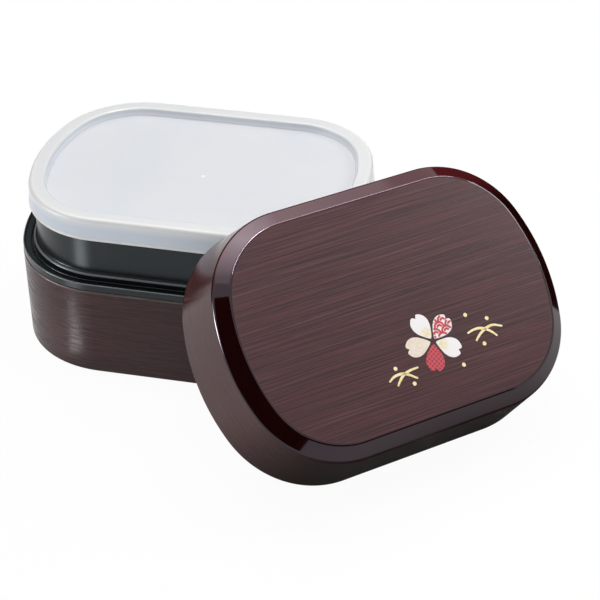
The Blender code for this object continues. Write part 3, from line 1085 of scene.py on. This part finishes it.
def studio_floor():
    """A white floor that keeps a faint shadow near the box and fades into the white studio further out.

    Shiny surfaces see it unlit close to the leaning lid's foot, where it lies in the lid's own shade.
    """
    bm = bmesh.new()
    bmesh.ops.create_circle(bm, cap_ends=True, segments=64, radius=FLOOR_RADIUS)
    material = bpy.data.materials.new("studio floor")
    material.use_nodes = True
    tree = material.node_tree
    nodes = Nodes(tree)
    tree.nodes.remove(tree.nodes["Principled BSDF"])
    diffuse = nodes.add("ShaderNodeBsdfDiffuse")
    diffuse.inputs["Color"].default_value = rgb(0.98, 0.98, 0.98)
    glow = nodes.add("ShaderNodeEmission")
    mix = nodes.add("ShaderNodeMixShader")
    place = nodes.add("ShaderNodeTexCoord").outputs["Object"]
    far = nodes.window(distance(nodes, place, (0, 0, 0)), FLOOR_NEAR, FLOOR_FAR)
    share = nodes.math("ADD", nodes.math("MULTIPLY", far, 1 - FLOOR_GLOW), FLOOR_GLOW)
    nodes.link(nodes.math("MULTIPLY", seen_directly(nodes), share), mix.inputs[0])
    from_feet = [distance(nodes, place, foot) for foot in LID_FEET]
    under = nodes.window(nodes.math("MINIMUM", *from_feet), LID_FOOT_FAR, LID_FOOT_NEAR)
    mirrored = nodes.math("MULTIPLY", nodes.add("ShaderNodeLightPath").outputs["Is Glossy Ray"], under)
    shade = nodes.math("MULTIPLY", mirrored, LID_FOOT_SHADE)
    nodes.link(nodes.math("SUBTRACT", 1.0, shade), glow.inputs["Strength"])
    nodes.link(diffuse.outputs[0], mix.inputs[1])
    nodes.link(glow.outputs[0], mix.inputs[2])
    nodes.link(mix.outputs[0], tree.nodes["Material Output"].inputs["Surface"])
    floor = as_object("floor", bm, [material])
    floor.location.z = -FLOOR_DROP


def lamp(name, place, away, along, width, height, radiance, edge=1.0, seen="both"):
    """A rectangular lamp whose back looks away; its watts follow from how bright it should look.

    Edge is how bright its rim is beside its middle; seen says whether it only lights surfaces
    (soft), only shows in shiny ones (mirrored), or both.
    """
    light = bpy.data.lights.new(name, "AREA")
    light.shape = "RECTANGLE"
    light.size = width
    light.size_y = height
    light.energy = radiance * math.pi * width * height
    if edge < 1:
        soften(light, edge)
    holder = bpy.data.objects.new(name, light)
    turn = Matrix((along, away.cross(along), away)).transposed().to_4x4()
    holder.matrix_world = Matrix.Translation(place) @ turn
    holder.visible_camera = False
    holder.visible_diffuse = seen != "mirrored"
    holder.visible_glossy = seen != "soft"
    bpy.context.scene.collection.objects.link(holder)
    return holder


def soften(light, edge):
    """Lets a lamp fall off from its middle to its rim, as a softbox does."""
    light.use_nodes = True
    nodes = Nodes(light.node_tree)
    spot = nodes.add("ShaderNodeNewGeometry").outputs["Parametric"]
    fall = nodes.add("ShaderNodeMapRange")
    nodes.link(distance(nodes, spot, (0.5, 0.5, 0.0)), fall.inputs["Value"])
    fall.inputs["From Min"].default_value = 0.0
    fall.inputs["From Max"].default_value = 0.5
    fall.inputs["To Min"].default_value = 1.0
    fall.inputs["To Max"].default_value = edge
    nodes.link(fall.outputs["Result"], light.node_tree.nodes["Emission"].inputs["Strength"])


def softbox(name, azimuth, elevation, reach, width, height, radiance, **more):
    """A lamp that looks at the middle of the object, reach metres off in a direction in degrees."""
    azimuth, elevation = math.radians(azimuth), math.radians(elevation)
    along = Vector((-math.sin(azimuth), math.cos(azimuth), 0))
    away = Vector((math.cos(azimuth) * math.cos(elevation), math.sin(azimuth) * math.cos(elevation),
                   math.sin(elevation)))
    lamp(name, STUDIO_CENTRE + away * reach, away, along, width, height, radiance, **more)


def floor_strip(name, start, stop, width, radiance, receivers):
    """A lamp that lies on the floor between two points and shines up on some pieces alone."""
    start, stop = Vector((*start, STRIP_LIFT)), Vector((*stop, STRIP_LIFT))
    down = Vector((0, 0, -1))
    holder = lamp(name, (start + stop) / 2, down, (stop - start).normalized(), (stop - start).length,
                  width, radiance)
    lit = bpy.data.collections.new(name)
    for piece in receivers:
        lit.objects.link(piece)
    holder.light_linking.receiver_collection = lit


def dark_flag(name, corners):
    """A black card in the studio that only mirror-like surfaces see."""
    bm = bmesh.new()
    bm.faces.new([bm.verts.new(corner) for corner in corners])
    card = bpy.data.materials.new(name)
    card.use_nodes = True
    shader = card.node_tree.nodes["Principled BSDF"]
    shader.inputs["Base Color"].default_value = rgb(0.002, 0.002, 0.002)
    shader.inputs["Specular IOR Level"].default_value = 0.0
    flag = as_object(name, bm, [card])
    flag.visible_camera = False
    flag.visible_diffuse = False
    flag.visible_shadow = False
    flag.visible_transmission = False


scene_camera()
bpy.context.scene.view_settings.view_transform = "Standard"
world()
studio_floor()
softbox("main softbox", 140, 60, 1.0, 0.80, 0.60, 2.2, seen="soft")
softbox("main sheen", 137, 63, 1.0, 1.30, 1.10, 5.0, edge=0.155, seen="mirrored")
softbox("top light", 40, 77, 0.95, 0.20, 0.20, 13.0)
softbox("top glint", -6, 83, 0.90, 0.44, 0.07, 45.0, seen="mirrored")
softbox("high strip", 50, 60, 0.80, 0.10, 0.45, 14.0, seen="mirrored")
softbox("right strip", 42, 22, 0.65, 0.07, 0.40, 14.0, seen="mirrored")
softbox("left strip", -157, 6, 0.70, 0.24, 0.16, 12.0, seen="mirrored")
softbox("left glint", -157, 6, 0.69, 0.16, 0.12, 25.0, seen="mirrored")
softbox("right softbox", 19.5, 35.5, 0.47, 0.12, 0.12, 9.0)
dark_flag("front flag", standing((-0.495, -0.569), (0.455, -0.695), 0.95))
dark_flag("low flag", standing((0.455, -0.695), (0.80, -0.22), 0.30))
dark_flag("right flag", standing((0.10, 0.205), (0.265, 0.085), 0.22))
dark_flag("back flag", standing((0.02, 0.80), (-0.79, -0.18), 0.48))

brown_tub, black_tub = lower_tier(), upper_tier()
floor_strip("near kicker", (-0.055, -0.067), (-0.093, -0.099), 0.010, 5.4, [brown_tub])
floor_strip("far kicker", (-0.092, -0.112), (-0.130, -0.157), 0.030, 5.6, [black_tub])
dress(brown_tub, "lower_tier", "lower_tier")
dress(black_tub, "upper_tier", "upper_tier")
dress(inner_lid(), "inner_lid", "inner_lid")
dress(gate_mark(), "inner_lid")
cover, cover_place = outer_lid()
top_face = cover_place @ Matrix.Translation((0, 0, LID_HEIGHT))
dress(cover, "outer_lid", "outer_lid")
blossom(top_face)
gold_sprigs(top_face)
